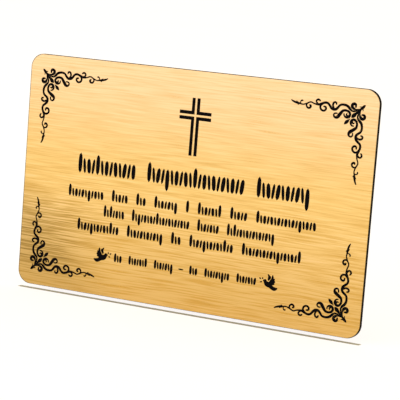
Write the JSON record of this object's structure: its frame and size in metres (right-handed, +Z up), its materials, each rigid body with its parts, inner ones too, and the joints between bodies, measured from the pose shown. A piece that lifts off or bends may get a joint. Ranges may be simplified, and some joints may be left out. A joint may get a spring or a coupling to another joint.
{
  "type": "commemorative plaque",
  "caption": "Thin flat brushed gold-coloured wall plaque with rounded corners, its cross, doves, corner scrolls and rows of strokes engraved through to a black core.",
  "frame": {"origin": "middle of the flat back face, where the plaque is fixed to the wall", "axes": "+Z up, +X along the plaque's length, +Y into the wall; the engraved face looks along -Y"},
  "size_m": [0.16, 0.0016, 0.1],
  "materials": {
    "brushed_gold": "lengthwise brushed, clear coated",
    "black_core": "fine matt, laser cut"
  },
  "bodies": {
    "root": {"gold_face_sheet": "brushed_gold", "black_core_plate": "black_core"}
  },
  "joints": []
}
